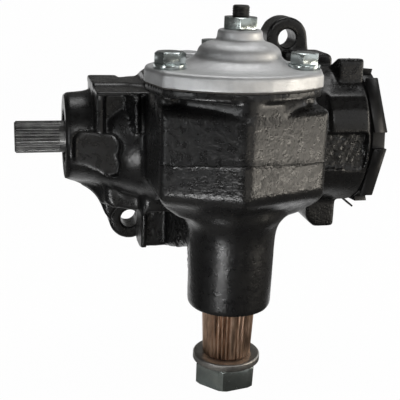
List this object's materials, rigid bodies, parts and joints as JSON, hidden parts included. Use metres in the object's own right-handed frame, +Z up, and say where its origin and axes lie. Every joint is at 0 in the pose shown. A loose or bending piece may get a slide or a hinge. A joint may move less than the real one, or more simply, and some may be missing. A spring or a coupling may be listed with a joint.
{
  "type": "steering gearbox",
  "caption": "Recirculating-ball steering gear: black cast housing, domed aluminium side cover, splined input shaft and a splined pitman shaft with washer and nut.",
  "frame": {"origin": "on the pitman shaft's axis, at the large end of the arm spline", "axes": "+X along the worm from the input end to the adjuster end, +Y towards the vehicle frame, +Z up the pitman shaft towards the side cover"},
  "size_m": [0.2172, 0.1499, 0.2208],
  "materials": {
    "black_casting": "sand-cast iron under semi-gloss black paint",
    "cast_aluminium": "satin die-cast aluminium",
    "gasket_paper": "dark fibre gasket",
    "zinc_steel": "bright zinc plate",
    "bronze": "sintered bronze",
    "black_steel": "black oxide",
    "ground_steel": "ground hardened steel",
    "shaft_steel": "heat-tinted brown steel",
    "seal_rubber": "black nitrile",
    "plain_steel": "plain grey steel",
    "dark_steel": "dark phosphate",
    "ball_steel": "polished bearing steel",
    "black_paint": "semi-gloss black paint"
  },
  "bodies": {
    "housing": {"gear_housing": "black_casting", "side_cover": "cast_aluminium", "cover_gasket": "gasket_paper", "cover_bolts": "zinc_steel", "cover_lock_washers": "zinc_steel", "cover_bushing": "bronze", "lash_adjuster": "black_steel", "lash_locknut": "zinc_steel", "pitman_bushing_upper": "bronze", "pitman_bushing_lower": "bronze", "pitman_seal": "seal_rubber", "upper_bearing_cup": "ground_steel", "lower_bearing_cup": "ground_steel", "worm_seal": "seal_rubber", "adjuster_plug": "black_steel", "adjuster_locknut": "black_paint", "adjuster_tab_washer": "black_paint"},
    "pitman": {"pitman_shaft": "shaft_steel", "lash_shim": "ground_steel", "pitman_lock_washer": "plain_steel", "pitman_nut": "zinc_steel"},
    "worm": {"worm_shaft": "dark_steel"},
    "nut": {"ball_nut": "ground_steel", "ball_guides": "plain_steel", "guide_clamp": "plain_steel", "clamp_screws": "black_steel", "recirculating_balls": "ball_steel"},
    "upper_ball_set": {"upper_bearing_balls": "ball_steel", "upper_bearing_cage": "bronze"},
    "lower_ball_set": {"lower_bearing_balls": "ball_steel", "lower_bearing_cage": "bronze"}
  },
  "joints": [
    {"name": "pitman_turn", "type": "hinge", "parent": "housing", "child": "pitman", "pos_m": [0, 0, 0], "axis": [0, 0, 1], "range_deg": [-36, 36]},
    {"name": "nut_travel", "type": "slide", "parent": "housing", "child": "nut", "axis": [1, 0, 0], "range_m": [-0.0202, 0.0202]},
    {"name": "worm_turn", "type": "hinge", "parent": "housing", "child": "worm", "pos_m": [0, 0.0585, 0.088], "axis": [1, 0, 0], "range_deg": [-573, 573]},
    {"name": "upper_balls_turn", "type": "hinge", "parent": "housing", "child": "upper_ball_set", "pos_m": [0, 0.0585, 0.088], "axis": [1, 0, 0], "range_deg": [-240, 240]},
    {"name": "lower_balls_turn", "type": "hinge", "parent": "housing", "child": "lower_ball_set", "pos_m": [0, 0.0585, 0.088], "axis": [1, 0, 0], "range_deg": [-240, 240]}
  ],
  "couplings": [
    {"joint": "worm_turn", "follows": "nut_travel", "rad_per_m": -494.74},
    {"joint": "pitman_turn", "follows": "nut_travel", "rad_per_m": -30.921},
    {"joint": "upper_balls_turn", "follows": "nut_travel", "rad_per_m": -201.11},
    {"joint": "lower_balls_turn", "follows": "nut_travel", "rad_per_m": -201.11}
  ]
}
